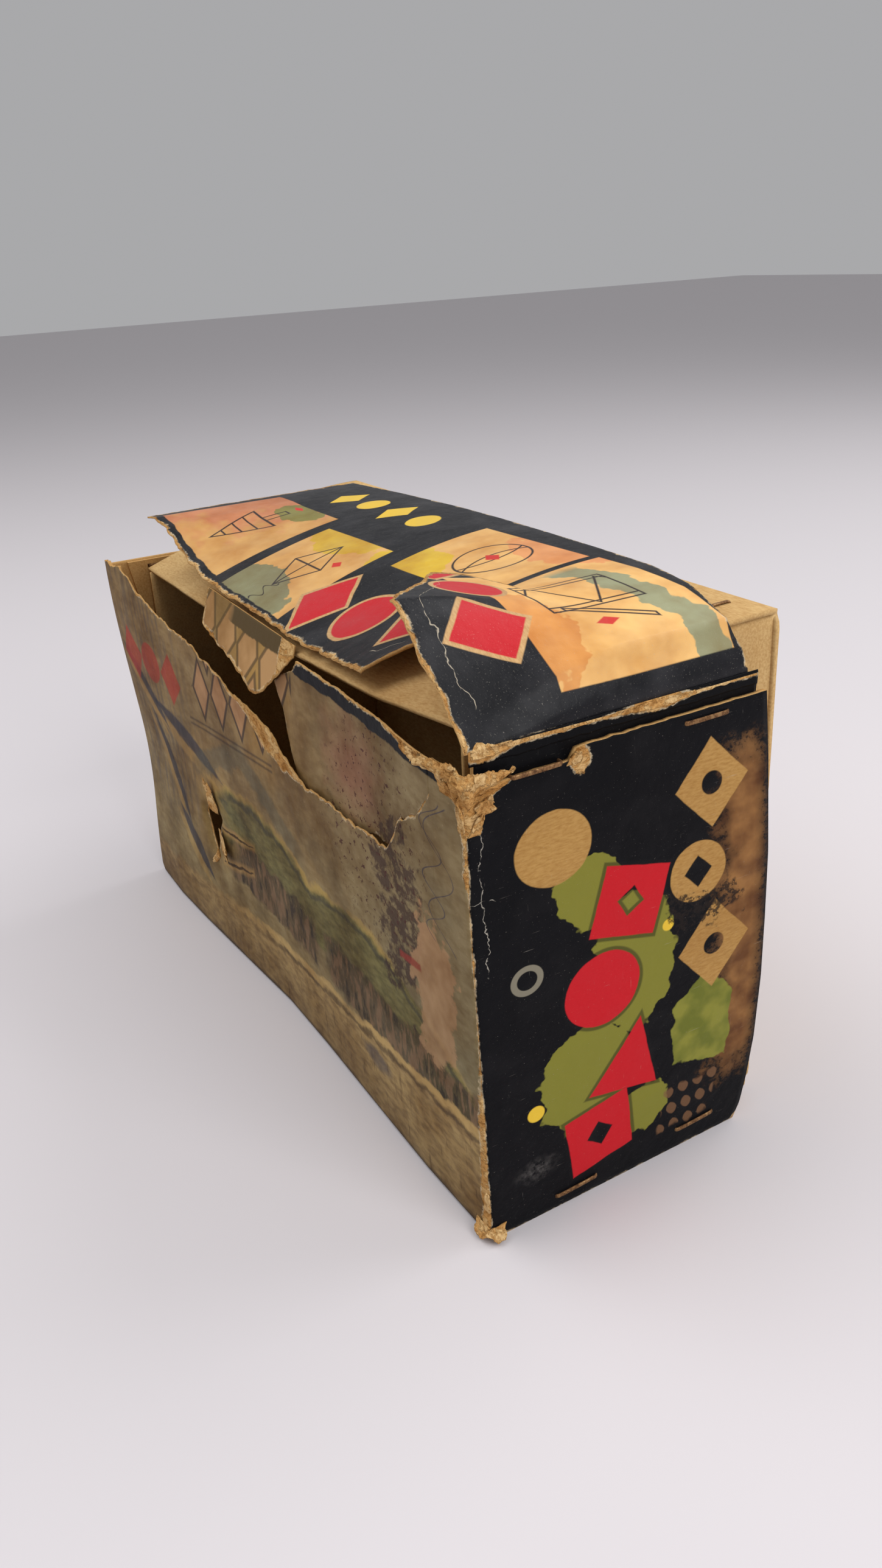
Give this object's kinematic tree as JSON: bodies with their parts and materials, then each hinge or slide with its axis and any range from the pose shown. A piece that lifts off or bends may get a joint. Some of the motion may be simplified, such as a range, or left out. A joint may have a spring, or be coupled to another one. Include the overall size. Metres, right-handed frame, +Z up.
{
  "type": "toy carton",
  "caption": "Worn cardboard toy carton: a printed lift-off lid with stapled corners over a plain sliding tray, its top wall torn loose into an arched flap.",
  "frame": {"origin": "on the standing surface, under the middle of the lid", "axes": "+X towards the stapled end wall beside the top wall's crease, +Y from the lid's face back to the tray, +Z up"},
  "size_m": [0.2212, 0.094, 0.1443],
  "materials": {
    "picture_board": "matt print, faded and scuffed",
    "black_board": "satin black print with bare board shapes, worn at the edges",
    "plain_board": "plain matt board, stained",
    "staple_wire": "coppered wire gone rusty"
  },
  "bodies": {
    "lid": {"lid_face": "picture_board", "lid_face_strip": "picture_board", "lid_near_end": "black_board", "lid_far_end": "black_board", "lid_bottom": "black_board", "lid_bottom_near_tab": "black_board", "lid_bottom_far_tab": "black_board", "lid_top_near_tab": "black_board", "lid_top_far_tab": "black_board", "lid_staples_near_top": "staple_wire", "lid_staples_near_bottom": "staple_wire", "lid_staples_far_top": "staple_wire", "lid_staples_far_bottom": "staple_wire"},
    "top_flap": {"lid_top_wall": "black_board"},
    "fragment": {"torn_fragment": "picture_board"},
    "tray": {"tray_back": "plain_board", "tray_top": "plain_board", "tray_bottom": "plain_board", "tray_near_end": "plain_board", "tray_far_end": "plain_board", "tray_near_top_tab": "plain_board", "tray_near_bottom_tab": "plain_board", "tray_far_top_tab": "plain_board", "tray_far_bottom_tab": "plain_board", "tray_staples_top": "staple_wire", "tray_staples_bottom": "staple_wire"}
  },
  "joints": [
    {"name": "tray_slide", "type": "slide", "parent": "lid", "child": "tray", "axis": [0, 1, 0], "range_m": [0, 0.09]},
    {"name": "top_flap_hinge", "type": "hinge", "parent": "lid", "child": "top_flap", "pos_m": [0.1094, 0, 0.1185], "axis": [0, 1, 0], "range_deg": [0, 80]},
    {"name": "fragment_hinge", "type": "hinge", "parent": "top_flap", "child": "fragment", "pos_m": [-0.009, -0.0319, 0.11894], "axis": [-0.9988, 0, 0.0484], "range_deg": [-4, 70], "stiffness_Nm_per_rad": 0.001}
  ]
}
